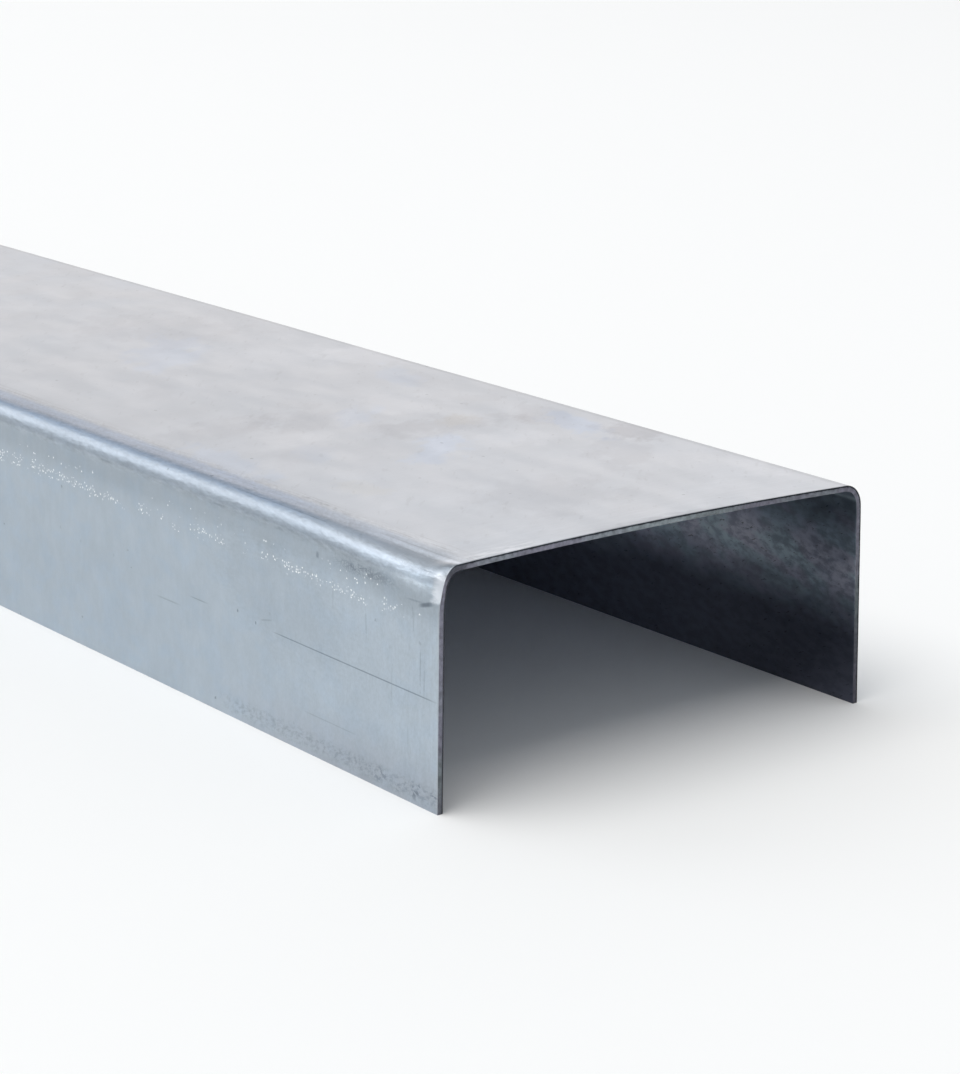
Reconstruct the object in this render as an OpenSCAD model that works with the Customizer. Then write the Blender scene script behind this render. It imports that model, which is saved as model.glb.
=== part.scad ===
// Steel track: a plain U-section of galvanised sheet that holds the ends of framing studs.
// It lies web up on the slit edges of its two legs, with its length along X.
// The origin is on the floor, under the middle of the track.

/* [Section] */
// Width of the track, over its two bends
track_w = 72; // [50:1:150]
// Height of the track, from its slit edges to the top of its web
track_h = 32; // [25:1:80]
// Thickness of the sheet
sheet_t = 0.8; // [0.5:0.05:1.6]
// Inside radius of the two bends
bend_r = 2.2; // [0.5:0.1:4]
// Angle by which each leg leans outward, in degrees
leg_splay = 1; // [0:0.25:4]

/* [Length] */
// Length of the track
track_l = 2400; // [300:50:6000]

/* [Finish] */
// Colour of the zinc coating
zinc_colour = "#b9c0c8"; // ["#b9c0c8":Bright zinc, "#8f969c":Dull zinc]

/* [Hidden] */
$fn = 96;
// Outside radius of the bends
outer_r = bend_r + sheet_t;
// Centre of the right-hand bend, in the section
bend_y = track_w / 2 - outer_r;
bend_z = track_h - outer_r;
// Length of a leg before its slit edge is cut level, and more than the section is high
leg_blank = 2 * track_h;

// Flat sheet between the two bends
module web_section() {
    translate([-bend_y, track_h - sheet_t])
        square([2 * bend_y, sheet_t]);
}

// Half ring about the bend's centre, which starts where the leg leaves it
module bend_section() {
    intersection() {
        difference() {
            circle(outer_r);
            circle(bend_r);
        }
        translate([-outer_r, 0])
            square([2 * outer_r, outer_r]);
    }
}

// Straight leg below the bend's centre
module leg_section() {
    translate([bend_r, -leg_blank])
        square([sheet_t, leg_blank]);
}

// Right-hand bend and leg, leaned out together, then trimmed at the web's end, its top and the floor
module side_section() {
    translate([bend_y, bend_z])
        intersection() {
            rotate(leg_splay)
                union() {
                    bend_section();
                    leg_section();
                }
            translate([0, -bend_z])
                square([leg_blank, track_h]);
        }
}

// The whole section, seen from its end
module track_section() {
    web_section();
    side_section();
    mirror([1, 0])
        side_section();
}

// One roll-formed length, cut square at both ends
module track() {
    color(zinc_colour)
        translate([-track_l / 2, 0, 0])
            rotate([90, 0, 90])
                linear_extrude(track_l)
                    track_section();
}

track();
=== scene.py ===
import math
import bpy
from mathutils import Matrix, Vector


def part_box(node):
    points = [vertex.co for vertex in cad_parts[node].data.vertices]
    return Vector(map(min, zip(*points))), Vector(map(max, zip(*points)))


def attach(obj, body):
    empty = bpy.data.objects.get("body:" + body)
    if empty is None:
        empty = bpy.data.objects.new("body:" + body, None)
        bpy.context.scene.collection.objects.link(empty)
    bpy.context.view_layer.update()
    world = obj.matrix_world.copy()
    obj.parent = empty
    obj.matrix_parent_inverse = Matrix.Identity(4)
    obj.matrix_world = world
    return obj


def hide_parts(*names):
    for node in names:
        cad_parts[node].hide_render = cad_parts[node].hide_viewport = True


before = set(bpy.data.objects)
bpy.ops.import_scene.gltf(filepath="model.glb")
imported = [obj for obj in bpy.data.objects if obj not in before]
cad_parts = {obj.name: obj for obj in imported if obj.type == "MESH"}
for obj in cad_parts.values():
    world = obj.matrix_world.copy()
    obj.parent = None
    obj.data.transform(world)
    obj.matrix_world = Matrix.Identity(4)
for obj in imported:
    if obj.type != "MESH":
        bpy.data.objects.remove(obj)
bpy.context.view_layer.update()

from types import SimpleNamespace

import bmesh
import bpy
from mathutils import Matrix, Vector
from mathutils.bvhtree import BVHTree

# Everything is in metres, in the part's own frame: X along the track, Z up, the floor at zero.

boxLow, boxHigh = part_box("track")
mm = 0.001

trackShape = {
    "sheet": 0.8 * mm,
    "bendRadius": 3.0 * mm,      # outside of the two bends
    "legLean": 1.0,              # degrees outward
    "webCrown": 0.56 * mm,       # the middle of the web stands this far above its sides
    "cutSkew": 0.8 * mm,         # how far the shear ran out of square over the width
    "cutRake": 0.8 * mm,         # and over the height, with the slit edges furthest out
    "webColumns": 48,
    "bendSteps": 12,
    "legRows": 20,
    "rowLength": 12 * mm,
    "fineLength": 200 * mm,      # the last stretch before the front cut has finer rows
    "fineCuts": 3,
    "cutRows": [0.3, 0.8, 1.5, 2.4, 3.5, 5.0, 7.0, 9.2],    # millimetres back from each cut
    "lip": 0.07 * mm,            # the worn edges of the cut
    "lipSegments": 2,
    "lipAngle": 50,              # an edge sharper than this many degrees is worn
    "smoothAngle": 40,
    "touch": 0.1 * mm,           # a point nearer a line than this lies on it
    "weld": 0.01 * mm,
    "cutWeld": 0.001 * mm,
}


def selectOnly(thing):
    bpy.ops.object.select_all(action="DESELECT")
    thing.select_set(True)
    bpy.context.view_layer.objects.active = thing


def pickEdges(sheet, rule):
    # in edit mode: only the edges whose two ends the rule accepts are selected
    mesh = bmesh.from_edit_mesh(sheet.data)
    bpy.ops.mesh.select_all(action="DESELECT")
    for edge in mesh.edges:
        if rule(edge.verts[0].co, edge.verts[1].co):
            edge.select_set(True)
    bmesh.update_edit_mesh(sheet.data)


def bendPlace():
    # centre of the far bend: the CAD box is widest at the slit edges, so it is found back from there
    lean = math.radians(trackShape["legLean"])
    radius = trackShape["bendRadius"]
    squareHeight = boxHigh.z - radius
    sideways = boxHigh.y - (radius + squareHeight * math.sin(lean)) / math.cos(lean)
    return sideways, squareHeight - trackShape["webCrown"]


def cutPlane(end, back):
    # a plane parallel to the shear cut at one end (1 front, -1 back), and this far behind it
    skew = trackShape["cutSkew"] / (boxHigh.y - boxLow.y)
    rake = trackShape["cutRake"] / boxHigh.z
    reach = boxHigh.x - (trackShape["cutSkew"] + trackShape["cutRake"]) / 2
    place = Vector((end * (reach - back), 0, boxHigh.z / 2))
    return place, Vector((end, -end * skew, end * rake)).normalized()


def distanceBack(point):
    # how far a point lies behind the front cut
    place, normal = cutPlane(1, 0)
    return (place - point).dot(normal)


def softStep(value, start, finish):
    share = min(max((value - start) / (finish - start), 0), 1)
    return share * share * (3 - 2 * share)


def rollSheet():
    # the outer skin of the U: a flat web, turned down at both sides round the bends, then drawn out to the
    # slit edges
    bendSide, bendHeight = bendPlace()
    radius = trackShape["bendRadius"]
    lean = math.radians(trackShape["legLean"])
    length = boxHigh.x - boxLow.x
    bpy.ops.object.select_all(action="DESELECT")
    bpy.ops.mesh.primitive_grid_add(x_subdivisions=round(length / trackShape["rowLength"]),
                                    y_subdivisions=trackShape["webColumns"], size=1)
    sheet = bpy.context.object
    sheet.name = "trackSheet"
    bpy.ops.object.mode_set(mode="EDIT")
    bpy.ops.mesh.select_mode(type="EDGE")
    bpy.ops.mesh.select_all(action="SELECT")
    bpy.ops.transform.resize(value=(length, 2 * bendSide, 1))
    bpy.ops.transform.translate(value=(0, 0, bendHeight + radius))
    legLength = (bendHeight + radius * math.sin(lean)) / math.cos(lean)
    drop = legLength / trackShape["legRows"]
    for side in (-1, 1):
        pickEdges(sheet, lambda a, b: min(a.y * side, b.y * side) > bendSide - trackShape["touch"])
        bpy.ops.mesh.spin(steps=trackShape["bendSteps"], angle=side * (math.pi / 2 - lean),
                          center=(0, side * bendSide, bendHeight), axis=(1, 0, 0))
        for row in range(trackShape["legRows"]):
            bpy.ops.mesh.extrude_region_move(TRANSFORM_OT_translate={
                "value": (0, side * drop * math.sin(lean), -drop * math.cos(lean))})
    bpy.ops.mesh.select_all(action="SELECT")
    bpy.ops.mesh.remove_doubles(threshold=trackShape["weld"])
    bpy.ops.mesh.normals_make_consistent(inside=False)
    return sheet


def cutEnds(sheet):
    # still in edit mode: finer rows before the front, a shear cut at each end, and close rows behind each cut
    fineStart = boxHigh.x - trackShape["fineLength"]
    pickEdges(sheet, lambda a, b: min(a.x, b.x) > fineStart and abs(a.x - b.x) > mm)
    bpy.ops.mesh.subdivide(number_cuts=trackShape["fineCuts"])
    for end in (-1, 1):
        for back in [0] + trackShape["cutRows"]:
            place, normal = cutPlane(end, back * mm)
            bpy.ops.mesh.select_all(action="SELECT")
            bpy.ops.mesh.bisect(plane_co=place, plane_no=normal, clear_outer=back == 0,
                                threshold=trackShape["cutWeld"])
    bpy.ops.object.mode_set(mode="OBJECT")


def weigh(sheet, name, rule):
    group = sheet.vertex_groups.new(name=name)
    for vertex in sheet.data.vertices:
        weight = rule(vertex.co)
        if weight > 0:
            group.add([vertex.index], min(weight, 1), "REPLACE")


def displace(sheet, name, strength, **settings):
    change = sheet.modifiers.new(name, "DISPLACE")
    change.strength = strength
    for setting, value in settings.items():
        setattr(change, setting, value)
    bpy.ops.object.modifier_apply(modifier=name)


def cloudTexture(name, size, depth):
    clouds = bpy.data.textures.new(name, "CLOUDS")
    clouds.noise_scale = size
    clouds.noise_depth = depth
    return clouds


rollStrain = {
    "wave": 0.10 * mm,          # slow waves in the rolled sheet
    "waveSize": 45 * mm,
    # swells along a bend near a cut: end (1 front), side (-1 near), most at this far behind the cut,
    # reach from there, middle below the bend, spread, depth (outward if negative)
    "swells": {
        "nearDent": (1, -1, -1.5 * mm, 4.2 * mm, 1.3 * mm, 3.6 * mm, 0.80 * mm),
        "nearDroop": (1, -1, 4.0 * mm, 32.0 * mm, -1.5 * mm, 2.6 * mm, 0.34 * mm),
        "nearBulge": (1, -1, 4.0 * mm, 32.0 * mm, 2.9 * mm, 3.4 * mm, -0.34 * mm),
        "farDent": (1, 1, 0.0 * mm, 8.0 * mm, 0.9 * mm, 3.0 * mm, 0.08 * mm),
        "backNearDent": (-1, -1, 0.0 * mm, 6.0 * mm, 0.6 * mm, 3.4 * mm, 0.30 * mm),
        "backFarDent": (-1, 1, 0.0 * mm, 5.0 * mm, 1.0 * mm, 3.6 * mm, 0.45 * mm),
    },
}


def belowBend(point):
    # distance along the flat or bent skin from the middle of the nearer bend, positive down the leg
    bendSide, bendHeight = bendPlace()
    radius = trackShape["bendRadius"]
    across = abs(point.y) - bendSide
    above = point.z - bendHeight
    if across < 0:
        return across - radius * math.pi / 4
    if above < 0:
        return radius * math.pi / 4 - above
    return radius * (math.atan2(across, above) - math.pi / 4)


def bendOnStrip():
    # how far the middle of a bend lies from the middle of the web, on the flat strip
    bendSide, bendHeight = bendPlace()
    return bendSide + trackShape["bendRadius"] * math.pi / 4


def stripPoint(point):
    # where a point is on the flat strip: back from the front cut, and across from the middle of the web
    return distanceBack(point), math.copysign(bendOnStrip() + belowBend(point), point.y)


def unrollSheet(sheet):
    # a UV map of the flat strip, in metres
    strip = sheet.data.uv_layers.new(name="strip")
    for loop in sheet.data.loops:
        strip.data[loop.index].uv = stripPoint(sheet.data.vertices[loop.vertex_index].co)


def strainSheet(sheet):
    # what the roll former and the shear leave in the sheet: a crowned web, slow waves, and bends that open
    # or sink at the cuts
    selectOnly(sheet)
    bendSide, bendHeight = bendPlace()
    webHeight = bendHeight + trackShape["bendRadius"]
    backPlace, backNormal = cutPlane(-1, 0)

    def swollen(point, end, side, peak, reach, middle, spread):
        if point.y * side < 0:
            return 0
        behind = max(distanceBack(point) if end > 0 else (backPlace - point).dot(backNormal), 0)
        share = behind / peak if behind < peak else 1 - (behind - peak) / reach
        around = abs(belowBend(point) - middle) / spread
        return softStep(share, 0, 1) * (1 - softStep(around, 0, 1))

    onWeb = webHeight - trackShape["weld"]
    weigh(sheet, "crown", lambda point: 1 - (point.y / bendSide) ** 2 if point.z > onWeb else 0)
    for name, swell in rollStrain["swells"].items():
        weigh(sheet, name, lambda point: swollen(point, *swell[:-1]))
    for name, swell in rollStrain["swells"].items():
        displace(sheet, name, -swell[-1], vertex_group=name, mid_level=0)
    displace(sheet, "crown", trackShape["webCrown"], vertex_group="crown", mid_level=0, direction="Z")
    displace(sheet, "wave", rollStrain["wave"], mid_level=1, texture_coords="LOCAL",
             texture=cloudTexture("wave", rollStrain["waveSize"], 1))
    sheet.vertex_groups.clear()


def thicken(sheet):
    selectOnly(sheet)
    skin = BVHTree.FromObject(sheet, bpy.context.evaluated_depsgraph_get())
    wall = sheet.modifiers.new("wall", "SOLIDIFY")
    wall.thickness = trackShape["sheet"]
    wall.offset = -1
    wall.use_even_offset = True
    wall.material_offset = 1
    wall.material_offset_rim = 2
    bpy.ops.object.modifier_apply(modifier="wall")
    lip = sheet.modifiers.new("lip", "BEVEL")
    lip.limit_method = "ANGLE"
    lip.angle_limit = math.radians(trackShape["lipAngle"])
    lip.width = trackShape["lip"]
    lip.segments = trackShape["lipSegments"]
    bpy.ops.object.modifier_apply(modifier="lip")
    bpy.ops.object.shade_smooth_by_angle(angle=math.radians(trackShape["smoothAngle"]))
    # how deep in the sheet each point lies, 0 on the outer skin and 1 on the inner one
    depth = sheet.data.attributes.new("depth", "FLOAT", "POINT")
    for vertex in sheet.data.vertices:
        depth.data[vertex.index].value = skin.find_nearest(vertex.co)[3] / trackShape["sheet"]


bakeRows = {
    "rows": 3,                  # lengths that each skin is laid in, which makes the map about square
    "gap": 3 * mm,
    "spill": 7 * mm,            # a row may run this far past its own length
    "cutWidth": 8 * mm,         # the cut steel is drawn wider than it is
    "edgeWidth": 3 * mm,        # and the slit edges
}


def layRows(sheet):
    # a second UV map, to bake through: the two skins in rows, the two cuts beside them, the slit edges above
    rows, gap, spill = bakeRows["rows"], bakeRows["gap"], bakeRows["spill"]
    cutWidth, edgeWidth = bakeRows["cutWidth"], bakeRows["edgeWidth"]
    backPlace, backNormal = cutPlane(-1, 0)
    rowLength = (boxHigh.x - boxLow.x) / rows
    spots = [stripPoint(vertex.co) for vertex in sheet.data.vertices]
    depth = sheet.data.attributes["depth"].data
    halfStrip = max(across for back, across in spots)
    rowHeight = 2 * halfStrip + gap
    edgeHeight = edgeWidth + gap
    wide = rowLength + 2 * spill + cutWidth + 3 * gap
    tall = 2 * rows * (rowHeight + edgeHeight) + gap
    rowMap = sheet.data.uv_layers.new(name="OFBake")
    for face in sheet.data.polygons:
        row = min(int(distanceBack(face.center) / rowLength), rows - 1)
        toBack = (backPlace - face.center).dot(backNormal)
        toCut = min(distanceBack(face.center), toBack)
        for loop in face.loop_indices:
            corner = sheet.data.loops[loop].vertex_index
            back, across = spots[corner]
            along = gap + spill + back - row * rowLength
            up = gap + halfStrip + across
            if face.material_index < 2:     # the two skins
                up += (face.material_index * rows + row) * rowHeight
            elif toCut < trackShape["sheet"] / 2:
                along = 2 * gap + 2 * spill + rowLength + depth[corner].value * cutWidth
                up += rowHeight if toBack < rowLength else 0
            else:
                line = row + (rows if face.center.y > 0 else 0)
                up = gap + 2 * rows * rowHeight + line * edgeHeight + depth[corner].value * edgeWidth
            rowMap.data[loop].uv = (along / wide, up / tall)


def newNode(tree, kind, inputs=None, **settings):
    node = tree.nodes.new(kind)
    for name, value in settings.items():
        setattr(node, name, value)
    for name, value in (inputs or {}).items():
        if isinstance(value, bpy.types.NodeSocket):
            tree.links.new(value, node.inputs[name])
        else:
            node.inputs[name].default_value = value
    return node


def maths(tree, operation, first, second=0.0):
    return newNode(tree, "ShaderNodeMath", {0: first, 1: second}, operation=operation).outputs[0]


def rest(tree, share):
    # what a share leaves of the whole
    return maths(tree, "SUBTRACT", 1.0, share)


def fade(tree, value, start, finish, low=0.0, high=1.0):
    # goes smoothly from low at start to high at finish
    ends = {"Value": value, "From Min": start, "From Max": finish, "To Min": low, "To Max": high}
    return newNode(tree, "ShaderNodeMapRange", ends, interpolation_type="SMOOTHSTEP").outputs["Result"]


def between(tree, share, low, high):
    # low where the share is nothing, and high where it is one
    return fade(tree, share, 0.0, 1.0, low, high)


def window(tree, value, start, finish, soft):
    # one between start and finish and nothing beyond them, with soft sides
    rise = fade(tree, value, start - soft, start + soft)
    return maths(tree, "MULTIPLY", rise, fade(tree, value, finish + soft, finish - soft))


def contour(tree, value, points):
    # a level that runs through these (place, level) pairs
    first, last = points[0][0], points[-1][0]
    ends = {"Value": value, "From Min": first, "From Max": last}
    share = newNode(tree, "ShaderNodeMapRange", ends).outputs["Result"]
    ramp = newNode(tree, "ShaderNodeValToRGB", {"Fac": share})
    stops = ramp.color_ramp.elements
    for place, level in points[1:-1]:
        stops.new((place - first) / (last - first))
    for stop, (place, level) in zip(stops, points):
        stop.color = (1, 1, 1, level)
    return ramp.outputs["Alpha"]


def product(tree, *factors):
    total = factors[0]
    for factor in factors[1:]:
        total = maths(tree, "MULTIPLY", total, factor)
    return total


def tint(tree, factor, first, second, blend="MIX"):
    colours = {"Fac": factor}
    for name, colour in (("Color1", first), ("Color2", second)):
        colours[name] = (*colour, 1) if isinstance(colour, tuple) else colour
    return newNode(tree, "ShaderNodeMixRGB", colours, blend_type=blend).outputs["Color"]


def scaled(tree, colour, level):
    return newNode(tree, "ShaderNodeHueSaturation", {"Color": colour, "Value": level}).outputs["Color"]


def grain(tree, place, along, across, detail=2.0, roughness=0.5, seed=0.0, turn=0.0):
    # noise whose lumps are this many millimetres along the strip and across it, turned by this many degrees
    spread = newNode(tree, "ShaderNodeMapping", {
        "Vector": place,
        "Rotation": (0, 0, math.radians(turn)),
        "Location": (-seed * along, -seed * 0.7 * across, -seed * 1.3),
        "Scale": (along, across, 1),
    }, vector_type="TEXTURE")
    lumps = newNode(tree, "ShaderNodeTexNoise", {
        "Vector": spread.outputs["Vector"],
        "Scale": 1.0,
        "Detail": detail,
        "Roughness": roughness,
    }, noise_dimensions="3D")
    return lumps.outputs["Fac"]


markShape = {
    "dotLump": 0.8,                 # size of the lumps that fray a dot's side, in dots
    "dotFray": 3.4,                 # how far they move it, in half dots
    "dotSide": 0.3,                 # softness of the side, in half dots
    "dotFaintest": 0.25,            # strength of the weakest dot
    "strokeSide": 0.25,             # share of a stroke's width that is at full strength
    "strokeEnd": 2.0,               # softness of its ends, in mm
    "stainEdge": (0.425, 0.775),    # where a stain starts and is full, from its outline to its middle
}


def dots(tree, place, share, spacing, size, seed):
    # ragged dots of about this size, in this share of the cells of a loose net, each with its own strength
    spread = newNode(tree, "ShaderNodeMapping", {
        "Vector": place,
        "Location": (seed, seed, 0),
        "Scale": (1 / spacing, 1 / spacing, 1),
    })
    cells = newNode(tree, "ShaderNodeTexVoronoi", {"Vector": spread.outputs["Vector"], "Scale": 1.0},
                    voronoi_dimensions="2D")
    pick = newNode(tree, "ShaderNodeSeparateColor", {"Color": cells.outputs["Color"]})
    radius = size / spacing / 2
    lump = size * markShape["dotLump"]
    ragged = maths(tree, "SUBTRACT", grain(tree, place, lump, lump, 2, 0.6, seed), 0.5)
    ragged = product(tree, ragged, radius * markShape["dotFray"])
    side = radius * markShape["dotSide"]
    spot = fade(tree, maths(tree, "ADD", cells.outputs["Distance"], ragged), radius + side, radius - side)
    strength = between(tree, pick.outputs[1], markShape["dotFaintest"], 1.0)
    return product(tree, spot, maths(tree, "LESS_THAN", pick.outputs[0], share), strength)


def stroke(tree, back, below, scratch):
    # one straight scratch or smear: from, to (behind the cut), how far below the bend, slope, width, strength
    start, finish, level, slope, width, strength = scratch
    drift = maths(tree, "MULTIPLY", maths(tree, "SUBTRACT", back, start), slope)
    off = maths(tree, "ABSOLUTE", maths(tree, "SUBTRACT", maths(tree, "SUBTRACT", below, level), drift))
    line = fade(tree, off, width, width * markShape["strokeSide"])
    soft = min(markShape["strokeEnd"], (finish - start) / 4)
    return product(tree, line, window(tree, back, start + soft / 2, finish - soft / 2, soft), strength)


def patch(tree, place, ragged, stain):
    # one soft-edged stain: middle behind the cut and across, turn in degrees, length, width, strength
    back, across, turn, length, width, strength = stain
    local = newNode(tree, "ShaderNodeMapping", {
        "Vector": place,
        "Location": (back, across, 0),
        "Rotation": (0, 0, math.radians(turn)),
        "Scale": (length, width, 1),
    }, vector_type="TEXTURE")
    blob = newNode(tree, "ShaderNodeTexGradient", {"Vector": local.outputs["Vector"]},
                   gradient_type="SPHERICAL")
    inside = maths(tree, "SUBTRACT", blob.outputs["Fac"], ragged)
    return product(tree, fade(tree, inside, *markShape["stainEdge"]), strength)


def newFinish(name, metallic, roughness, colour):
    finish = bpy.data.materials.new(name)
    finish.use_nodes = True
    tree = finish.node_tree
    shader = tree.nodes["Principled BSDF"]
    shader.inputs["Metallic"].default_value = metallic
    shader.inputs["Roughness"].default_value = roughness
    shader.inputs["Base Color"].default_value = (*colour, 1)
    return finish, tree, shader


def addRelief(tree, shader, height):
    relief = newNode(tree, "ShaderNodeBump", {"Height": height, "Strength": 1.0, "Distance": mm})
    tree.links.new(relief.outputs["Normal"], shader.inputs["Normal"])


def stripSkin(tree, look):
    # where a point is on the flat strip, in millimetres: behind the front cut, below the middle of its bend
    flat = newNode(tree, "ShaderNodeUVMap", uv_map="strip").outputs["UV"]
    inMillimetres = newNode(tree, "ShaderNodeMapping", {"Vector": flat, "Scale": (1 / mm, 1 / mm, 1)})
    place = inMillimetres.outputs["Vector"]
    parts = newNode(tree, "ShaderNodeSeparateXYZ", {"Vector": place})
    across = parts.outputs["Y"]
    below = maths(tree, "SUBTRACT", maths(tree, "ABSOLUTE", across), bendOnStrip() / mm)
    near = maths(tree, "LESS_THAN", across, 0.0)
    return SimpleNamespace(tree=tree, look=look, place=place, back=parts.outputs["X"], below=below, near=near)


def noise(skin, name):
    return grain(skin.tree, skin.place, *skin.look["marks"][name]["grain"])


def mark(skin, name, *factors, edge=None):
    # the product of all that a mark's entry gives, and of the factors that are handed over
    tree, values, found = skin.tree, skin.look["marks"][name], []
    if "lumps" in values:
        found.append(fade(tree, noise(skin, name), *values["lumps"]))
    elif "grain" in values:
        found.append(maths(tree, "SUBTRACT", noise(skin, name), 0.5))
    if "band" in values:
        found.append(window(tree, edge or skin.below, *values["band"]))
    if "below" in values:
        found.append(fade(tree, skin.below, *values["below"]))
    if "stretch" in values:
        found.append(window(tree, skin.back, *values["stretch"]))
    for ends in values.get("back", []):
        found.append(fade(tree, skin.back, *ends))
    found.extend(factors)
    if "side" in values:
        found.append(skin.near if values["side"] == "near" else rest(tree, skin.near))
    if "strength" in values:
        found.append(values["strength"])
    return product(tree, *found)


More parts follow.
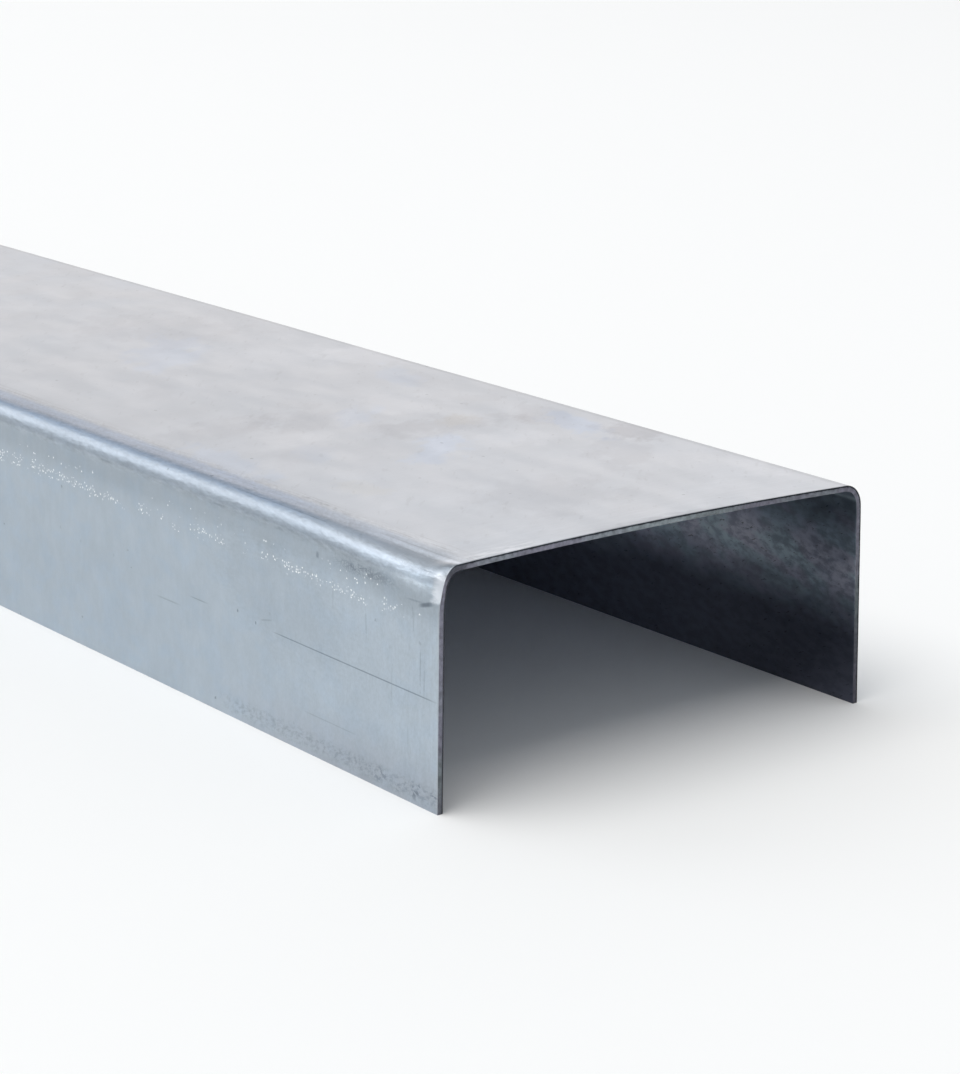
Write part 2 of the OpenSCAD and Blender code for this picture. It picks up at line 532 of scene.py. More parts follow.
zincLook = {
    "cool": (0.470, 0.522, 0.581),
    "warm": (0.494, 0.532, 0.577),
    "blue": (0.450, 0.522, 0.609),
    "glint": (0.97, 0.99, 1.0),
    "burnishHighlightColour": (0.90, 0.93, 0.98),
    # a painted tint: the legs reflect bluer light than the web
    "legTint": (0.958, 1.000, 1.02),
    "edgeTint": (0.930, 0.985, 1.06),      # the bluer tint of the painted shade beside the near bend, on the web
    "footTint": (1.0, 0.965, 0.955),
    "dirtAndShade": (0.0, 0.035, 0.085),
    "roughness": 0.36,
    "burnishAndHighlightMetal": 0.45,         # how metallic the zinc looks where it is burnished and has a painted highlight
    "flareHighlightStrength": 0.66,
    "legStart": (0.0, 3.0),         # mm below the middle of the bend: the web's zinc turns into the leg's
    "placedStains": (130, 190),     # mm behind the cut, beyond which the stains are left to chance
    "bendFray": 0.95,               # how ragged the bends' bands are: their sides wander half of this, in mm
    "underLineFray": 0.4,
    "flareFray": 1.6,
    "scoreFray": 0.75,
    "flareEnd": (1.9, 0.7),         # mm behind the cut
    "cutShadeEnd": (2.0, 0.2),
    "patchesOnLeg": 0.3,            # how much of the broad patches is left there
    "patchesPlaced": 0.35,          # and where the stains are placed
    "cloudSwing": (0.020, 0.040),   # where the stains are placed, and beyond
    "pepperOnWeb": 0.2,
    "lineFloor": 0.03,              # the near bend's painted highlight is at least this much brighter
    "distantWebLevel": 0.975,
    "smudgeFaintest": 0.08,
    "specks": (4.5, 0.40, 2.3),     # spacing and size in mm, and seed
    "speckStrength": 0.40,
    "glints": (0.44, 0.25, 5.0),
    "peelHeight": 0.075,            # relief, in mm
    "surfaceHeight": 0.004,
    "dirtAndShadeDepth": 0.012,
    # every mark may have:
    #   grain: its noise: the lumps' size along and across the strip in mm, detail, roughness, seed, turn
    #   lumps: the noise it starts and is full at, and its own levels there (without it, noise about zero)
    #   band: a stretch across the strip, from and to in mm below the middle of the bend, and softness
    #   below: a fade across the strip, and its levels
    #   stretch: a stretch along the track, from and to in mm behind the cut, and softness
    #   back: fades along the track, and their levels
    #   side: near or far, and strength
    "marks": {
        # tone
        "patches": {"grain": (24, 17, 2, 0.45, 3.1, 64), "lumps": (0.36, 0.64, -0.5, 0.5)},
        "blueness": {"grain": (4.5, 3.2, 3, 0.6, 21.4), "lumps": (0.42, 0.66),
                     "back": [(20, 60, 0.30, 0.45)]},
        "clouds": {"grain": (10, 7, 3, 0.55, 7.7, 64), "lumps": (0.3, 0.7, -1.0, 0.8)},
        "smears": {"grain": (3.6, 5.5, 3, 0.6, 58.4), "lumps": (0.3, 0.7, -0.022, 0.022)},
        "frayed": {"grain": (6, 3.5, 4, 0.6, 40.6, 50), "strength": 1.3},
        "dabs": {"grain": (3.2, 0.9, 2, 0.5, 52.1, 42), "lumps": (0.63, 0.73), "strength": 0.07},
        "pepper": {"grain": (0.35, 0.5, 3, 0.7, 61.3), "back": [(60, 8, 0.08, 0.27)]},
        "mottle": {"grain": (1.1, 1.7, 4, 0.65, 66.2), "back": [(80, 10, 0.07, 0.12)]},
        "threads": {"grain": (0.45, 3.5, 2, 0.6, 1.9), "back": [(16, 2, 0.06, 0.18)]},
        # painted shade beside the bends: the dark bands that they reflect
        "ragged": {"grain": (1.1, 0.45, 3, 0.6, 12.5)},
        "webPaintedShade": {"back": [(4, 34, 0.1, 1.0)], "side": "near"},
        "farPaintedShade": {"band": (-2.8, 0.2, 0.6), "side": "far", "strength": 0.14},
        "hollowShade": {"band": (-2.0, -0.8, 0.35), "back": [(22, 8)], "side": "near", "strength": 0.15},
        "lines": {"grain": (16, 0.30, 3, 0.6, 71.9), "lumps": (0.53, 0.68), "band": (-6.3, -0.9, 0.7),
                  "side": "near", "strength": 0.24},
        "drags": {"grain": (3.4, 0.34, 4, 0.65, 47.3, -3)},
        "dabbed": {"grain": (1.3, 0.5, 3, 0.65, 49.9, 30), "strength": 0.8},
        "dragged": {"band": (-5.8, -1.6, 0.6), "side": "near", "strength": 0.48},
        "sink": {"back": [(20, 2, 0.0, 1.3)]},
        "legPaintedShade": {"back": [(28, 10, 1.0, 1.45)]},
        "underLineShade": {"band": (1.4, 2.5, 0.5), "stretch": (14, 58, 12), "side": "near", "strength": 0.10},
        "flare": {"band": (0.2, 3.9, 0.45), "side": "near"},
        "kinkShade": {"band": (-2.4, -0.1, 0.4), "back": [(3.4, 1.4)], "side": "near", "strength": 0.27},
        # painted highlights along the near bend
        "lineLevel": {"back": [(26, 12, 0.05, 0.20), (1.5, 9, -0.6, 1.0)]},
        "brightLine": {"band": (-0.1, 1.8, 0.4), "side": "near"},
        "lowLine": {"band": (1.1, 2.3, 0.3), "back": [(10, 5)], "side": "near", "strength": 0.42},
        "streaks": {"grain": (2.0, 0.55, 4, 0.62, 83.5, 8), "band": (-0.6, 2.4, 0.4), "strength": 0.56},
        "shoulder": {"band": (-20, -1.8, 3.0), "back": [(34, 10)], "side": "near", "strength": 0.045},
        "crease": {"band": (-3.0, -2.2, 0.3), "back": [(26, 12), (12, 7, 0.13, 0.27)], "side": "near"},
        "distantLine": {"band": (-1.5, 1.2, 0.4), "back": [(42, 84)], "side": "near", "strength": 0.11},
        # painted shade on the lip just behind the cut
        "lip": {"back": [(0.45, 0.08)], "strength": 0.20},
        "distant": {"back": [(5, 85, 1.0, 0.94)]},
        "distantWeb": {"back": [(20, 90)]},
        # colour beside the near bend, the tint of its painted shade, and at the foot
        "beside": {"band": (-4.4, -0.7, 0.7), "back": [(3, 20, 0.2, 1.0)], "side": "near"},
        "besideFar": {"back": [(24, 40)]},
        "atFoot": {"below": (22, 29), "back": [(60, 20)]},
        # dirt, and painted shade at the foot and behind the web's cut
        "hatchLow": {"grain": (1.0, 0.20, 3, 0.6, 34.4, -17), "lumps": (0.46, 0.60)},
        "hatchHigh": {"grain": (0.9, 0.19, 3, 0.6, 38.1, 24), "lumps": (0.50, 0.62)},
        "hatchAcross": {"grain": (0.20, 1.0, 3, 0.6, 31.7), "lumps": (0.47, 0.60)},
        "smudge": {"grain": (2.2, 0.9, 3, 0.6, 18.9), "lumps": (0.30, 0.52, 0.15, 1.0),
                   "band": (2.6, 3.9, 0.8), "stretch": (10, 20, 5), "strength": 0.48},
        "scribble": {"grain": (1.4, 0.35, 3, 0.6, 27.7), "lumps": (0.52, 0.62), "band": (-5.7, -4.5, 0.4),
                     "stretch": (27, 38, 2), "strength": 0.22},
        "footGrime": {"grain": (1.0, 0.6, 4, 0.7, 9.2, -20), "lumps": (0.42, 0.66, 0.0, 0.22)},
        "footDabs": {"grain": (1.2, 0.9, 3, 0.6, 13.4, 20), "lumps": (0.54, 0.63), "back": [(28, 5)],
                     "strength": 0.38},
        "foot": {"band": (27.9, 30.1, 0.6), "back": [(50, 44)]},
        "footShade": {"below": (21, 29), "back": [(48, 10)], "strength": 0.13},
        "cutFray": {"grain": (1.2, 2.4, 3, 0.6, 44.8), "strength": 4.0},
        "cutShade": {"below": (-21, -28), "strength": 0.17},
        "speckShare": {"grain": (14, 9, 1, 0.5, 6.1), "lumps": (0.5, 0.7, 0.0, 0.4)},
        # bright marks: painted glints, and burnish with painted highlights
        "bunches": {"grain": (3.2, 1.6, 2, 0.5, 8.8), "lumps": (0.42, 0.54)},
        "glintRow": {"band": (6.2, 7.4, 0.7)},
        "highRow": {"band": (3.8, 5.0, 0.5), "strength": 0.12},
        "glintShare": {"back": [(2, 14)], "strength": 0.75},
        "crumbs": {"grain": (0.7, 0.16, 3, 0.65, 9.0, 12), "lumps": (0.55, 0.66), "band": (0.1, 0.9, 0.3),
                   "stretch": (1.5, 9, 2.0), "side": "near", "strength": 0.40},
        "scuffHighlight": {"grain": (0.6, 3.0, 3, 0.6, 15.1), "lumps": (0.42, 0.60), "band": (-15, -5, 3),
                  "back": [(4.0, 0.4)], "strength": 0.38},
        "legEdgeHighlight": {"below": (3.4, 4.4), "back": [(0.5, 0.2)], "strength": 0.12},
        # sheen and relief
        "sheen": {"grain": (12, 5, 3, 0.6, 2.2), "lumps": (0.3, 0.7, 0.34, 0.38)},
        "onBend": {"band": (-2.0, 2.6, 1.0)},
        "peel": {"grain": (1.1, 0.55, 3, 0.6, 3.3)},
        "surface": {"grain": (2.2, 1.6, 3, 0.55, 6.6)},
    },
    # painted shade beside the bends: mm below the middle of the bend, and the share of brightness taken off
    "webShading": [
        (-7, 0), (-5.2, 0.08), (-4.2, 0.22), (-3, 0.27),
        (-2, 0.37), (-1.4, 0.22), (-1.0, 0.02), (-0.4, 0),
    ],
    "legShading": [(1.3, 0), (2.1, 0.12), (2.8, 0.15), (4.2, 0.14), (6, 0.03), (9, 0)],
    # scratches and smears on the near side: from, to (mm behind the cut), mm below the middle of the bend,
    # slope, width, strength
    "strokes": [
        (0.3, 35.8, 16.50, -0.004, 0.14, 0.42),
        (50.8, 55.6, 16.35, 0.0, 0.14, 0.26),
        (57.8, 64.2, 18.25, 0.01, 0.16, 0.22),
        (35.2, 38.6, 14.75, 0.22, 0.22, 0.22),
        (16.0, 29.0, 25.25, 0.0, 0.14, 0.20),
        (3.0, 13.0, 27.55, 0.0, 0.14, 0.14),
        (1.5, 16.5, 25.35, 0.0, 0.12, 0.10),
        (1.1, 4.0, 4.20, 0.28, 0.42, 0.52),
        (2.6, 6.6, 4.45, 0.05, 0.20, 0.18),
        (2.0, 4.6, 0.42, 0.0, 0.16, 0.26),
        (24.9, 25.6, 3.55, 0.0, 0.62, 0.34),
        (-1.0, 16.5, -3.25, 0.0, 0.16, 0.16),
        (25.0, 48.0, -1.20, 0.0, 0.16, 0.16),
        (46.0, 50.0, 1.95, 0.0, 0.25, 0.22),
        (75.0, 79.0, 1.80, 0.0, 0.22, 0.20),
    ],
    # scores on the near leg: middle in mm behind the cut and across the strip, turn, length, width, strength
    "scores": [
        (14.9, -45.6, 88, 4.5, 0.30, 0.16),
        (3.7, -48.6, 90, 7.0, 0.28, 0.22),
        (2.9, -49.8, 91, 5.0, 0.26, 0.18),
        (5.2, -42.4, 87, 4.0, 0.26, 0.14),
        (9.5, -52.0, 92, 6.0, 0.26, 0.12),
        (22.0, -43.5, 90, 5.0, 0.28, 0.12),
        (6.1, -58.2, 89, 5.0, 0.24, 0.13),
        (33, -47, 10, 36, 15.0, 0.07),
    ],
    # stains on the web: each kind's tint, and its places given as the scores are
    "stains": {
        "pale": ((1.11, 1.10, 1.095), [     # brighter zinc
            (105, 29, 0, 18, 15, 0.90),
            (115, 14, 0, 38, 28, 0.30),
            (72, 12, 80, 19, 16, 0.60),
            (46.5, 8, 95, 25, 11, 0.70),
            (16, 26, 80, 16, 14, 0.60),
            (63, -18, 95, 25, 9, 0.55),
            (36, -21, 0, 25, 10, 0.30),
        ]),
        "dusk": ((0.83, 0.82, 0.825), [     # grey-brown
            (139, 13, 0, 32, 30, 0.42),
            (41, 30, 0, 12, 12, 1.00),
            (30, 19, 34, 25, 10, 0.50),
            (55, 25.5, 20, 22, 9, 0.45),
            (57.5, 9, 90, 28, 12, 0.65),
            (72, -6, 60, 20, 14, 0.50),
            (74, -18, 90, 25, 11, 0.40),
            (18, -5, 90, 24, 20, 0.38),
            (85, 26, 20, 13, 6, 0.30),
            (54, -18, 60, 14, 9, 0.30),
            (99, -13, 30, 15, 8, 0.25),
            (70, 25, 90, 9, 6, 0.25),
        ]),
        "ochre": ((1.03, 1.0, 0.95), [      # a little yellow
            (59, 13, 80, 12, 7, 1.00),
            (35, -22, 0, 10, 6, 0.70),
        ]),
        "bloom": ((0.905, 0.98, 1.09), [    # blue
            (122.5, 3, 40, 32, 12.5, 0.50),
            (47, 26, 18, 19, 8.5, 0.85),
            (46.5, -0.5, 55, 22, 8.5, 0.68),
            (89, 24, 20, 18, 7.5, 0.46),
            (69, 1.5, 50, 14, 7.0, 0.45),
            (53.5, -16, 20, 11, 6.5, 0.30),
            (58, -28.5, 5, 27, 7.5, 0.50),
        ]),
    },
}


def zincTone(skin):
    # broad cool and warm patches, bluer zinc on the leg, and smaller clouds with smears drawn out across it
    tree, look = skin.tree, skin.look
    distance = fade(tree, skin.back, *look["placedStains"])
    legPatches = between(tree, skin.onLeg, 1.0, look["patchesOnLeg"])
    placedPatches = between(tree, distance, look["patchesPlaced"], 1.0)
    patches = maths(tree, "ADD", mark(skin, "patches", legPatches, placedPatches), 0.5)
    colour = tint(tree, patches, look["cool"], look["warm"])
    colour = tint(tree, mark(skin, "blueness", skin.onLeg), colour, look["blue"])
    clouds = mark(skin, "clouds", between(tree, distance, *look["cloudSwing"]))
    clouds = maths(tree, "ADD", clouds, 1.0)
    return colour, maths(tree, "ADD", clouds, mark(skin, "smears", skin.onLeg))


def stainWeb(skin, colour):
    tree, look = skin.tree, skin.look
    frayed = mark(skin, "frayed")
    stain = (1.0, 1.0, 1.0)
    for stainTint, places in look["stains"].values():
        for stainPlace in places:
            stain = tint(tree, patch(tree, skin.place, frayed, stainPlace), stain, stainTint, "MULTIPLY")
    return tint(tree, skin.onWeb, colour, stain, "MULTIPLY")


def zincGrain(skin):
    # darker dabs on the web, a fine pepper, and threads drawn out across the strip
    tree = skin.tree
    dabs = mark(skin, "dabs", skin.onWeb)
    pepper = mark(skin, "pepper", between(tree, skin.onLeg, skin.look["pepperOnWeb"], 1.0))
    pepper = maths(tree, "ADD", pepper, mark(skin, "mottle", skin.onLeg))
    return dabs, pepper, maths(tree, "ADD", mark(skin, "threads"), 1.0)


def paintedBendShade(skin):
    # painted shade: the dark bands that each bend reflects beside it, painted into the colour, with ragged
    # sides and streaks
    tree, look, below = skin.tree, skin.look, skin.below
    skin.ragged = mark(skin, "ragged")
    skin.edge = maths(tree, "ADD", below, product(tree, skin.ragged, look["bendFray"]))
    webPaintedShade = mark(skin, "webPaintedShade", contour(tree, skin.edge, look["webShading"]))
    farPaintedShade = mark(skin, "farPaintedShade", edge=skin.edge)
    hollowShade = mark(skin, "hollowShade", edge=skin.edge)
    webPaintedShade = maths(tree, "ADD", webPaintedShade, maths(tree, "ADD", farPaintedShade, hollowShade))
    lines = mark(skin, "lines", edge=skin.edge)
    drags = maths(tree, "ADD", mark(skin, "drags"), mark(skin, "dabbed"))
    drags = mark(skin, "dragged", drags)
    # the leg's band of painted shade sinks towards the bend at the cut
    sunk = maths(tree, "SUBTRACT", skin.edge, mark(skin, "sink"))
    legPaintedShade = mark(skin, "legPaintedShade", contour(tree, sunk, look["legShading"]))
    underLineEdge = maths(tree, "ADD", below, product(tree, skin.ragged, look["underLineFray"]))
    legPaintedShade = maths(tree, "ADD", legPaintedShade, mark(skin, "underLineShade", edge=underLineEdge))
    # the dent flares the end of the near bend, which gets a painted highlight, above a kink with painted
    # shade
    flareEnd = maths(tree, "ADD", skin.back, product(tree, skin.ragged, look["flareFray"]))
    skin.flare = mark(skin, "flare", fade(tree, flareEnd, *look["flareEnd"]), edge=skin.edge)
    kinkShade = mark(skin, "kinkShade", edge=skin.edge)
    dull = product(tree, maths(tree, "ADD", webPaintedShade, legPaintedShade), rest(tree, skin.flare))
    dull = maths(tree, "MAXIMUM", dull, kinkShade)
    return maths(tree, "ADD", maths(tree, "MAXIMUM", dull, lines), drags)


def paintedBendHighlights(skin):
    # painted highlight: the near bend's bright line is streaked, strongest a little way back, and widens
    # towards the cut; painted highlights also lighten the web's shoulder near the cut, a crease, and the line
    # further back
    tree, edge = skin.tree, skin.edge
    lineLevel = maths(tree, "ADD", mark(skin, "lineLevel"), skin.look["lineFloor"])
    paintedHighlight = mark(skin, "brightLine", lineLevel, edge=edge)
    paintedHighlight = maths(tree, "ADD", paintedHighlight, mark(skin, "lowLine", edge=edge))
    paintedHighlight = product(tree, paintedHighlight, rest(tree, skin.flare))
    paintedHighlight = maths(tree, "ADD", paintedHighlight, mark(skin, "streaks", edge=edge))
    shoulder = mark(skin, "shoulder")
    crease = mark(skin, "crease", edge=edge)
    distantLine = mark(skin, "distantLine", edge=edge)
    return maths(tree, "ADD", maths(tree, "ADD", paintedHighlight, shoulder), maths(tree, "ADD", crease, distantLine))


def zincDirtAndShade(skin):
    # everything that darkens the zinc: dirt and scratches, and painted shade at the foot of the near leg and
    # behind the middle of the web's cut
    tree, look, place, back, below = skin.tree, skin.look, skin.place, skin.back, skin.below
    marked = 0.0
    for scratch in look["strokes"]:
        marked = maths(tree, "MAXIMUM", stroke(tree, back, below, scratch), marked)
    for score in look["scores"]:
        frayed = product(tree, skin.ragged, look["scoreFray"])
        marked = maths(tree, "MAXIMUM", patch(tree, place, frayed, score), marked)
    hatch = mark(skin, "hatchLow")
    hatch = maths(tree, "MAXIMUM", hatch, mark(skin, "hatchHigh"))
    hatch = maths(tree, "MAXIMUM", hatch, mark(skin, "hatchAcross"))
    smudge = mark(skin, "smudge", between(tree, hatch, look["smudgeFaintest"], 1.0))
    scribble = mark(skin, "scribble")
    grime = maths(tree, "MAXIMUM", mark(skin, "footGrime"), mark(skin, "footDabs"))
    foot = maths(tree, "ADD", mark(skin, "foot", grime), mark(skin, "footShade"))
    cutEnd = maths(tree, "ADD", back, mark(skin, "cutFray"))
    cutShade = mark(skin, "cutShade", fade(tree, cutEnd, *look["cutShadeEnd"]))
    dirtAndShade = maths(tree, "ADD", maths(tree, "ADD", smudge, scribble), foot)
    dirtAndShade = product(tree, maths(tree, "MAXIMUM", dirtAndShade, marked), skin.near)
    specks = dots(tree, place, mark(skin, "speckShare"), *look["specks"])
    dirtAndShade = maths(tree, "MAXIMUM", dirtAndShade, product(tree, specks, look["speckStrength"]))
    return maths(tree, "MAXIMUM", dirtAndShade, cutShade)


def brightMarks(skin, colour):
    tree, look = skin.tree, skin.look
    # painted glints: a row of bright pinpricks, painted near white, where the rollers marked the zinc below
    # each bend
    bunches = mark(skin, "bunches")
    row = maths(tree, "MAXIMUM", mark(skin, "glintRow"), mark(skin, "highRow"))
    glints = dots(tree, skin.place, mark(skin, "glintShare", bunches, row), *look["glints"])
    colour = tint(tree, glints, colour, look["glint"])
    # bright scratches on the end of the near bend
    colour = tint(tree, mark(skin, "crumbs"), colour, look["glint"])
    # burnish with painted highlights, where the shear dragged the end of the near bend and along the cut of
    # the web beside it, and the flare's painted highlight
    burnishAndHighlight = maths(tree, "MAXIMUM", mark(skin, "scuffHighlight"), mark(skin, "legEdgeHighlight"))
    burnishAndHighlight = product(tree, burnishAndHighlight, skin.near)
    burnishAndHighlight = maths(tree, "MAXIMUM", product(tree, skin.flare, look["flareHighlightStrength"]), burnishAndHighlight)
    return tint(tree, burnishAndHighlight, colour, look["burnishHighlightColour"]), burnishAndHighlight


def outerZinc():
    look = zincLook
    finish, tree, shader = newFinish("outerZinc", 1, look["roughness"], look["cool"])
    skin = stripSkin(tree, look)
    skin.onLeg = fade(tree, skin.below, *look["legStart"])
    skin.onWeb = rest(tree, skin.onLeg)

    colour, clouds = zincTone(skin)
    colour = stainWeb(skin, colour)
    dabs, pepper, threads = zincGrain(skin)
    dull = paintedBendShade(skin)
    paintedHighlight = paintedBendHighlights(skin)
    # painted shade on the lip just behind the cut, except on the flare's highlight
    lip = mark(skin, "lip", rest(tree, skin.flare))
    distantWeb = mark(skin, "distantWeb", skin.onWeb)
    distant = mark(skin, "distant", between(tree, distantWeb, 1.0, look["distantWebLevel"]))
    # the bends' painted shade and painted highlights go into the brightness
    bendTone = maths(tree, "ADD", rest(tree, dull), paintedHighlight)
    spotted = maths(tree, "SUBTRACT", maths(tree, "ADD", pepper, 1.0), maths(tree, "ADD", dabs, lip))
    brightness = product(tree, clouds, threads, bendTone, distant, spotted)

    # painted light: the legs are tinted bluer than the web, for the bluer light they reflect
    colour = tint(tree, skin.onLeg, colour, look["legTint"], "MULTIPLY")
    # the web's edge is bluer beside the near bend, a tint of its painted shade, and twice as blue further
    # back
    beside = mark(skin, "beside", edge=skin.edge)
    colour = tint(tree, beside, colour, look["edgeTint"], "MULTIPLY")
    colour = tint(tree, mark(skin, "besideFar", beside), colour, look["edgeTint"], "MULTIPLY")
    colour = tint(tree, mark(skin, "atFoot"), colour, look["footTint"], "MULTIPLY")
    colour = scaled(tree, colour, brightness)
    dirtAndShade = zincDirtAndShade(skin)
    colour = tint(tree, dirtAndShade, colour, look["dirtAndShade"], "MULTIPLY")
    colour, burnishAndHighlight = brightMarks(skin, colour)
    metal = between(tree, burnishAndHighlight, 1.0, look["burnishAndHighlightMetal"])
    tree.links.new(metal, shader.inputs["Metallic"])
    tree.links.new(colour, shader.inputs["Base Color"])

    tree.links.new(mark(skin, "sheen"), shader.inputs["Roughness"])
    onBend = product(tree, mark(skin, "onBend"), look["peelHeight"])
    peel = product(tree, noise(skin, "peel"), onBend)
    surface = product(tree, noise(skin, "surface"), look["surfaceHeight"])
    height = maths(tree, "ADD", peel, surface)
    height = maths(tree, "SUBTRACT", height, product(tree, dirtAndShade, look["dirtAndShadeDepth"]))
    addRelief(tree, shader, height)
    return finish


innerLook = {
    "dull": (0.42, 0.50, 0.585),
    "lilac": (0.455, 0.475, 0.585),
    # the painted reflection in the stripe
    "pale": (0.81, 0.94, 1.0),
    "palest": (0.90, 0.90, 1.0),
    # the painted shade low on each leg
    "deep": (0.090, 0.098, 0.132),
    "roughness": 0.40,
    "farRoughness": 0.85,           # deeper in, where the zinc has gone matt
    "rougher": (0, 80),             # mm in from a cut
    "matt": (3, 34, 1.0, 0.35),     # mm in from a cut, and how metallic the zinc looks there
    "edgeSink": (8, 22, 0.0, 1.2),
    # painted reflection and painted light, stronger further in from the cuts: the stripe's, and the zinc's
    # overall
    "stripeInward": (8, 30, 1.0, 1.5),
    "inwardLevel": (10, 70, 0.97, 1.7),
    "stain": (13.5, 22.5),          # where the painted shade low on the leg starts and is full, in mm below the middle of the bend
    "stripeTop": (5.4, 12.2),
    "stripeFoot": (18.8, 12.0),
    "bendLine": (0.9, 1.5, 0.4),
    "topShade": (3.0, 8.0, 0.64, 1.0),
    "stripeMottle": (0.36, 0.64, 0.25, 1.0),    # the mottle's noise from and to, and the levels there
    "bendLineMottle": (0.3, 0.7, 0.7, 1.0),
    "mottleLevel": (0.35, 0.65, 0.86, 1.14),
    "roughMottle": (0.3, 0.7, -0.05, 0.06),
    "edgeWander": 6.0,              # how far the stripe's edges wander, in mm
    "tickShade": 0.55,
    "relief": 0.008,
    "marks": {
        "mottle": {"grain": (2.1, 1.15, 4, 0.66, 5.5, -8)},
        "ticks": {"grain": (1.5, 0.45, 3, 0.6, 16.2, 20), "lumps": (0.635, 0.69)},
        "hue": {"grain": (8, 3.5, 2, 0.5, 41.8, -15), "lumps": (0.40, 0.60)},
        "clouds": {"grain": (16, 7, 2, 0.5, 2.8)},
    },
}


def innerZinc():
    look = innerLook
    finish, tree, shader = newFinish("innerZinc", 1, look["roughness"], look["dull"])
    skin = stripSkin(tree, look)
    below = skin.below
    fromBack = maths(tree, "SUBTRACT", (boxHigh.x - boxLow.x) / mm, skin.back)
    inward = maths(tree, "MINIMUM", skin.back, fromBack)
    mottle = noise(skin, "mottle")
    ticks = mark(skin, "ticks")
    hue = mark(skin, "hue")
    # painted reflection and shade: a paler, mottled stripe of painted reflection in the upper half of each
    # leg, and below it a dark band of painted shade for the shadowed floor that the lower leg reflects
    edge = maths(tree, "ADD", below, product(tree, mark(skin, "clouds"), look["edgeWander"]))
    lowerEdge = maths(tree, "ADD", edge, fade(tree, inward, *look["edgeSink"]))
    stain = fade(tree, lowerEdge, *look["stain"])
    stripe = product(tree, fade(tree, edge, *look["stripeTop"]), fade(tree, lowerEdge, *look["stripeFoot"]))
    mottled = fade(tree, mottle, *look["stripeMottle"])
    lift = product(tree, stripe, mottled, fade(tree, inward, *look["stripeInward"]))
    # painted highlight: a light line along the inner bend
    bendLine = product(tree, window(tree, below, *look["bendLine"]),
                       fade(tree, mottle, *look["bendLineMottle"]))
    lift = maths(tree, "MINIMUM", maths(tree, "ADD", lift, bendLine), 1.0)
    # painted light: the zinc is paler further in from the cuts, where less light reaches
    brightness = product(tree, fade(tree, mottle, *look["mottleLevel"]),
                         fade(tree, inward, *look["inwardLevel"]))
    shade = product(tree, fade(tree, below, *look["topShade"]),
                    between(tree, ticks, 1.0, look["tickShade"]))
    colour = tint(tree, stain, tint(tree, hue, look["dull"], look["lilac"]), look["deep"])
    colour = scaled(tree, colour, brightness)
    colour = tint(tree, lift, colour, tint(tree, hue, look["pale"], look["palest"]))
    colour = scaled(tree, colour, shade)
    tree.links.new(colour, shader.inputs["Base Color"])
    rough = fade(tree, mottle, *look["roughMottle"])
    deeper = fade(tree, inward, *look["rougher"], look["roughness"], look["farRoughness"])
    tree.links.new(maths(tree, "ADD", rough, deeper), shader.inputs["Roughness"])
    tree.links.new(fade(tree, inward, *look["matt"]), shader.inputs["Metallic"])
    addRelief(tree, shader, product(tree, mottle, look["relief"]))
    return finish


cutLook = {
    "lilac": (0.220, 0.220, 0.270),
    "pale": (0.250, 0.285, 0.305),
    "dark": (0.045, 0.050, 0.060),
    "roughness": 0.5,
    "drag": (1.0, 0.9, 4, 0.68, 1.1),   # noise along the cut, as in a mark's grain
    "dragLevel": (0.25, 0.75, 0.68, 1.30),
    "fray": 0.25,                       # how ragged the dark lines are, in thicknesses of the sheet
    "innerLine": (0.72, 0.86),          # depth in the sheet at which a line starts and is full
    "outerLine": (0.36, 0.2),
    "nearLeg": (-2.0, 2.0),             # mm below the middle of the bend
    "darkStretches": [      # side, from and to in mm below the middle of the bend, and level there
        ("far", -35, -27, 0.74),
        ("far", 2, 24, 0.55),
        ("near", 16, 29, 0.72),
    ],
    "relief": 0.015,
    "marks": {
        "zones": {"grain": (12, 12, 2, 0.5, 4.9), "lumps": (0.42, 0.6)},
        "bruise": {"band": (-3.6, 0.4, 0.8), "side": "near", "strength": 0.7},
    },
}


def cutSteel():
    look = cutLook
    finish, tree, shader = newFinish("cutSteel", 1, look["roughness"], look["lilac"])
    skin = stripSkin(tree, look)
    below, near = skin.below, skin.near
    depth = newNode(tree, "ShaderNodeAttribute", attribute_name="depth").outputs["Fac"]
    through = newNode(tree, "ShaderNodeCombineXYZ", {"Z": depth}).outputs["Vector"]
    within = newNode(tree, "ShaderNodeVectorMath", {0: skin.place, 1: through}, operation="ADD")
    drag = grain(tree, within.outputs["Vector"], *look["drag"])
    colour = tint(tree, mark(skin, "zones"), look["lilac"], look["pale"])
    # the shear smeared a dark line along one side of the cut: the inner side on the near leg, else the outer
    frayed = product(tree, maths(tree, "SUBTRACT", drag, 0.5), look["fray"])
    ragged = maths(tree, "ADD", depth, frayed)
    nearLeg = product(tree, near, fade(tree, below, *look["nearLeg"]))
    innerLine = product(tree, fade(tree, ragged, *look["innerLine"]), nearLeg)
    outerLine = product(tree, fade(tree, ragged, *look["outerLine"]), rest(tree, nearLeg))
    lines = maths(tree, "MAXIMUM", outerLine, innerLine)
    # and the steel is bruised where the near bend was dented
    lines = maths(tree, "MAXIMUM", lines, mark(skin, "bruise"))
    colour = tint(tree, lines, colour, look["dark"])
    # the far side of the cut is darker, most of all at the foot of its leg
    level = fade(tree, drag, *look["dragLevel"])
    sides = {"near": near, "far": rest(tree, near)}
    for side, start, end, lowest in look["darkStretches"]:
        share = product(tree, fade(tree, below, start, end), sides[side])
        level = product(tree, level, between(tree, share, 1.0, lowest))
    colour = scaled(tree, colour, level)
    tree.links.new(colour, shader.inputs["Base Color"])
    addRelief(tree, shader, product(tree, drag, look["relief"]))
    return finish


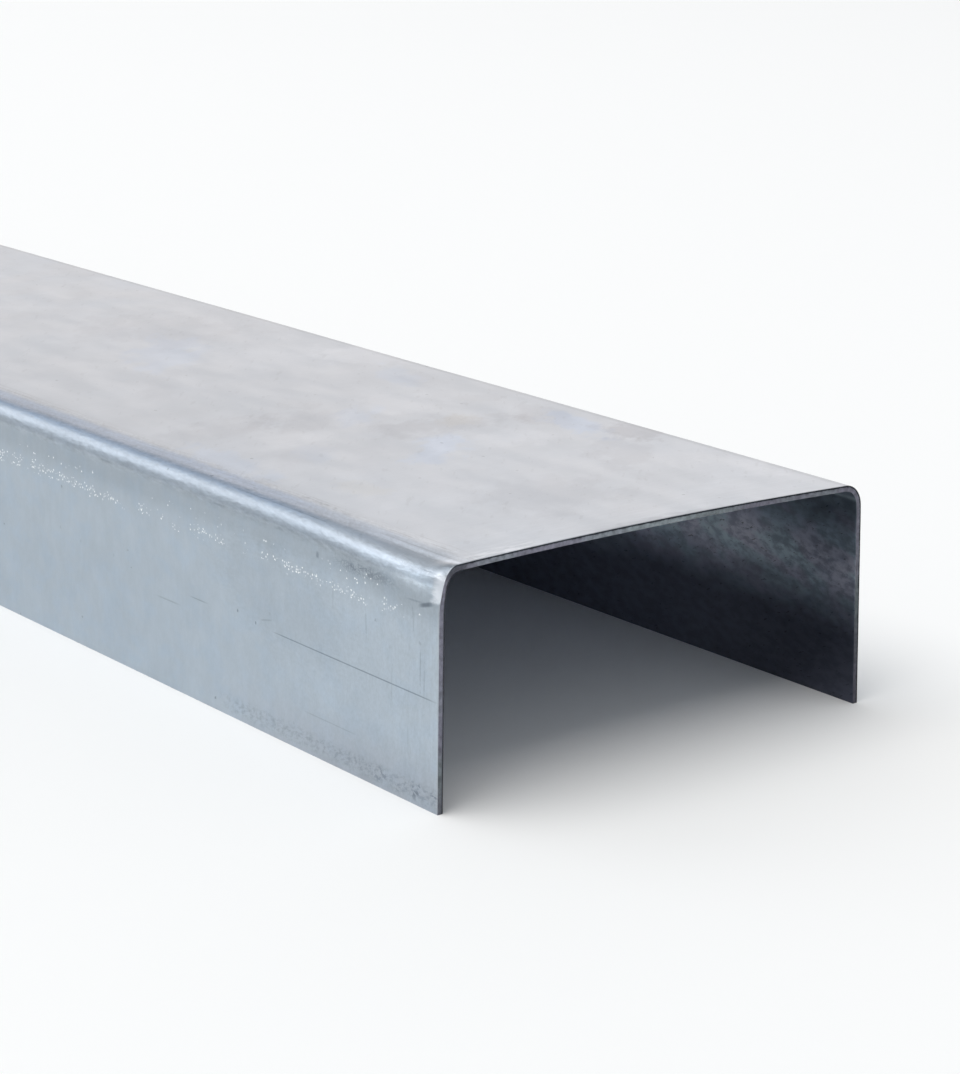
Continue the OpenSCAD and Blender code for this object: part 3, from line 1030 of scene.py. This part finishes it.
sheet = rollSheet()
cutEnds(sheet)
print("rolled and cut:", len(sheet.data.polygons), "faces")
unrollSheet(sheet)
strainSheet(sheet)
print("unrolled and strained:", len(rollStrain["swells"]), "swells at the cuts")
for finish in (outerZinc(), innerZinc(), cutSteel()):
    sheet.data.materials.append(finish)
print("finishes:", ", ".join(sheet.data.materials.keys()))
thicken(sheet)
layRows(sheet)
print("wall and lips:", sum(len(face.vertices) - 2 for face in sheet.data.polygons), "triangles")
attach(sheet, "root")
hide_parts("track")

studio = {
    "world": (0.50, 0.53, 0.56),
    "darkSide": (0.40, 0.42, 0.44),      # the room behind the camera
    "darkBearing": (0.83, -0.53, 0.15),
    "darkFade": (0.1, 0.8),              # cosine of the angle from there
    "floor": (0.935, 0.93, 0.922),
    "floorRoughness": 0.9,
    "floorSize": 400,
    "aim": (1.15, 0.0, 0.02),
    "softboxes": [    # name, bearing and height in degrees, distance, width, height, radiance
        ("back", 137, 15.5, 6.0, 5.6, 2.3, (1.015, 0.88, 0.80)),
        ("side", 203, 34, 6.0, 3.2, 3.2, (0.94, 0.98, 1.04)),
        ("top", 262, 66, 6.0, 6.0, 6.0, (2.30, 2.26, 2.20)),
    ],
}


def addSoftbox(name, bearing, height, distance, width, tall, radiance):
    lamp = bpy.data.lights.new(name, "AREA")
    lamp.shape = "RECTANGLE"
    lamp.size = width
    lamp.size_y = tall
    strength = max(radiance)
    lamp.color = [part / strength for part in radiance]
    lamp.energy = strength * math.pi * width * tall
    box = bpy.data.objects.new(name, lamp)
    turn = math.radians(bearing)
    rise = math.radians(height)
    out = Vector((math.cos(turn) * math.cos(rise), math.sin(turn) * math.cos(rise), math.sin(rise)))
    box.location = Vector(studio["aim"]) + out * distance
    box.rotation_euler = out.to_track_quat("Z", "Y").to_euler()
    box.visible_camera = False
    bpy.context.scene.collection.objects.link(box)


def buildStudio():
    scene = bpy.context.scene
    scene.view_settings.view_transform = "Standard"
    world = bpy.data.worlds.new("studio")
    world.use_nodes = True
    tree = world.node_tree
    outward = newNode(tree, "ShaderNodeTexCoord").outputs["Generated"]
    facing = newNode(tree, "ShaderNodeVectorMath", {0: outward, 1: studio["darkBearing"]},
                     operation="DOT_PRODUCT")
    towards = fade(tree, facing.outputs["Value"], *studio["darkFade"])
    room = tint(tree, towards, studio["world"], studio["darkSide"])
    tree.links.new(room, tree.nodes["Background"].inputs["Color"])
    scene.world = world
    for softbox in studio["softboxes"]:
        addSoftbox(*softbox)
    bpy.ops.object.select_all(action="DESELECT")
    bpy.ops.mesh.primitive_plane_add(size=studio["floorSize"])
    floor = bpy.context.object
    floor.name = "floor"
    paper, tree, shader = newFinish("floorPaper", 0, studio["floorRoughness"], studio["floor"])
    shader.inputs["Specular IOR Level"].default_value = 0
    floor.data.materials.append(paper)


view = {
    "place": (1.4508, -0.23295, 0.12489),
    "turn": 51.163,     # degrees, from looking along Y
    "down": 15.623,
    "roll": 0.854,
    "lens": 92.97,
    "sensor": 36,
    "clipStart": 0.01,
}


def addCamera():
    camera = bpy.data.objects.new("camera", bpy.data.cameras.new("camera"))
    camera.data.lens = view["lens"]
    camera.data.sensor_width = view["sensor"]
    camera.data.clip_start = view["clipStart"]
    aim = Matrix.Rotation(math.radians(view["turn"]), 4, "Z")
    aim = aim @ Matrix.Rotation(math.radians(90 - view["down"]), 4, "X")
    aim = aim @ Matrix.Rotation(math.radians(view["roll"]), 4, "Z")
    camera.matrix_world = Matrix.Translation(view["place"]) @ aim
    bpy.context.scene.collection.objects.link(camera)
    bpy.context.scene.camera = camera


buildStudio()
addCamera()
print("studio ready")
